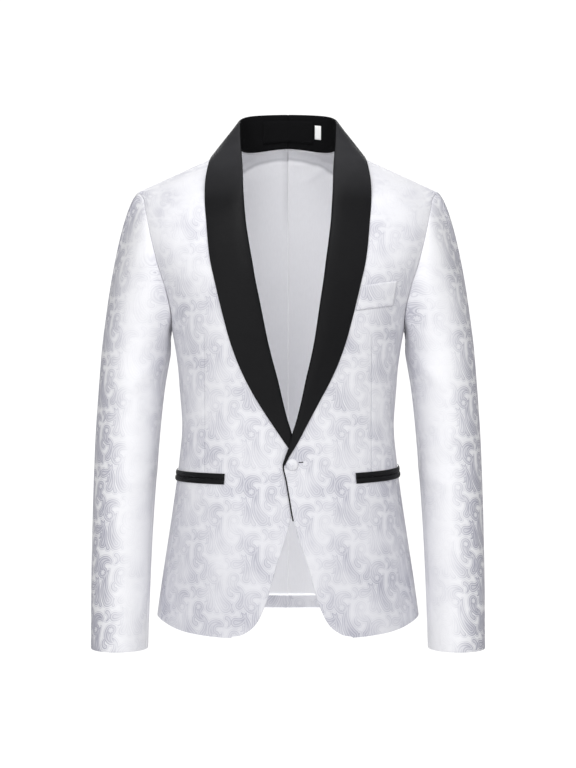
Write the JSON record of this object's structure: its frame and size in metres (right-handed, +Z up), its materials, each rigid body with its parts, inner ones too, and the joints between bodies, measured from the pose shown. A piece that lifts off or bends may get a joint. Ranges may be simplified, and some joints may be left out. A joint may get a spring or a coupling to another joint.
{
  "type": "tuxedo jacket",
  "caption": "Worn tuxedo jacket in white paisley jacquard with a black satin shawl collar, jetted hip pockets and a covered button, hollow and open at neck, hem and cuffs.",
  "frame": {"origin": "middle of the neck base, level with the inner ends of the shoulder seams, where the wearer's neck and shoulders hold it", "axes": "+Z up, +X towards the wearer's left, the front faces -Y"},
  "size_m": [0.5528, 0.2517, 0.7622],
  "materials": {
    "jacquard": "white satin jacquard woven with paisley",
    "black_satin": "black satin",
    "lining": "light grey lining satin",
    "label": "white woven tape, bare"
  },
  "bodies": {
    "root": {"front_left": "jacquard", "front_right": "jacquard", "side_left": "jacquard", "side_right": "jacquard", "back_left": "jacquard", "back_right": "jacquard", "sleeve_top_left": "jacquard", "sleeve_top_right": "jacquard", "sleeve_under_left": "jacquard", "sleeve_under_right": "jacquard", "breast_welt": "jacquard", "button": "jacquard", "collar_left": "black_satin", "collar_right": "black_satin", "facing_left": "black_satin", "hip_jet_upper_left": "black_satin", "hip_jet_lower_left": "black_satin", "hip_jet_upper_right": "black_satin", "hip_jet_lower_right": "black_satin", "neck_label": "black_satin", "lining_back_left": "lining", "lining_back_right": "lining", "size_label": "label"}
  },
  "joints": []
}
